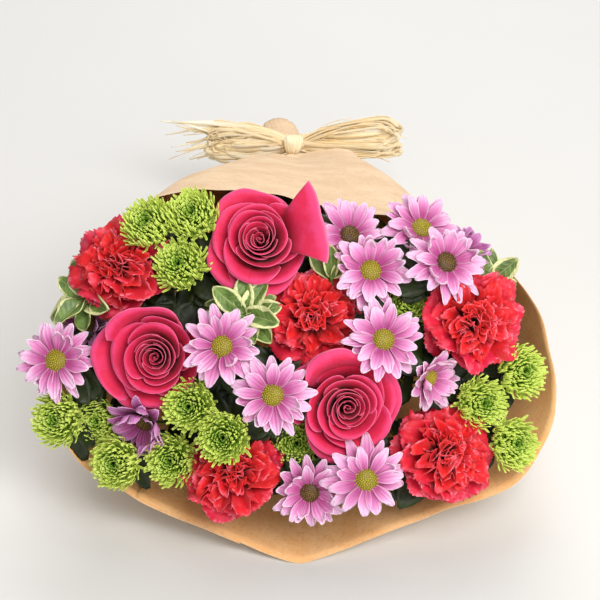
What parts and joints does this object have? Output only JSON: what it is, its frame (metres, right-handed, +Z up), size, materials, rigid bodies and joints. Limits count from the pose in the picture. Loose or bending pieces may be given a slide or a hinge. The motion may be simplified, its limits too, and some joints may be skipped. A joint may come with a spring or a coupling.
{
  "type": "mixed flower bouquet",
  "caption": "Mixed bouquet of roses, carnations, spray daisies, green button mums and leafy sprigs in a kraft paper cone, tied with a raffia bow and lying on its side.",
  "frame": {"origin": "on the surface the bouquet lies on, under the middle of its bounding box", "axes": "+Z up from the surface; the mouth of the wrapper and the blooms face -Y and tilt up, the neck, bow and paper tail point to +Y, and +X is to the right seen from the blooms"},
  "size_m": [0.3256, 0.4986, 0.1942],
  "materials": {
    "kraft_paper": "matt brown kraft paper",
    "raffia": "dry pale straw-coloured palm fibre",
    "rose_petal": "soft velvety hot pink petals",
    "carnation_petal": "soft ruffled red petals",
    "daisy_petal": "soft lavender-pink ray petals round an olive disc",
    "green_floret": "soft lime green florets",
    "green_stem": "smooth green plant stem",
    "variegated_leaf": "waxy green leaf with a cream margin"
  },
  "bodies": {
    "root": {"paper_wrapper": "kraft_paper", "raffia_wrap": "raffia", "raffia_knot": "raffia", "raffia_bow_left": "raffia", "raffia_bow_right": "raffia", "rose_bloom_1": "rose_petal", "rose_bloom_2": "rose_petal", "rose_bloom_3": "rose_petal", "rose_stem_1": "green_stem", "rose_stem_2": "green_stem", "rose_stem_3": "green_stem", "carnation_bloom_1": "carnation_petal", "carnation_bloom_2": "carnation_petal", "carnation_bloom_3": "carnation_petal", "carnation_bloom_4": "carnation_petal", "carnation_bloom_5": "carnation_petal", "carnation_stem_1": "green_stem", "carnation_stem_2": "green_stem", "carnation_stem_3": "green_stem", "carnation_stem_4": "green_stem", "carnation_stem_5": "green_stem", "daisy_bloom_1": "daisy_petal", "daisy_bloom_2": "daisy_petal", "daisy_bloom_3": "daisy_petal", "daisy_bloom_4": "daisy_petal", "daisy_bloom_5": "daisy_petal", "daisy_bloom_6": "daisy_petal", "daisy_bloom_7": "daisy_petal", "daisy_bloom_8": "daisy_petal", "daisy_bloom_9": "daisy_petal", "daisy_bloom_10": "daisy_petal", "daisy_bloom_11": "daisy_petal", "daisy_bloom_12": "daisy_petal", "daisy_bloom_13": "daisy_petal", "daisy_bloom_14": "daisy_petal", "daisy_spray_1": "green_stem", "daisy_spray_2": "green_stem", "daisy_spray_3": "green_stem", "daisy_spray_4": "green_stem", "green_mum_1": "green_floret", "green_mum_2": "green_floret", "green_mum_3": "green_floret", "green_mum_4": "green_floret", "green_mum_5": "green_floret", "green_mum_6": "green_floret", "green_mum_7": "green_floret", "green_mum_8": "green_floret", "green_mum_9": "green_floret", "green_mum_10": "green_floret", "green_mum_11": "green_floret", "green_mum_12": "green_floret", "green_mum_13": "green_floret", "green_mum_14": "green_floret", "green_mum_spray_1": "green_stem", "green_mum_spray_2": "green_stem", "green_mum_spray_3": "green_stem", "leaf_sprig_1": "variegated_leaf", "leaf_sprig_2": "variegated_leaf", "leaf_sprig_3": "variegated_leaf", "leaf_sprig_4": "variegated_leaf"}
  },
  "joints": []
}
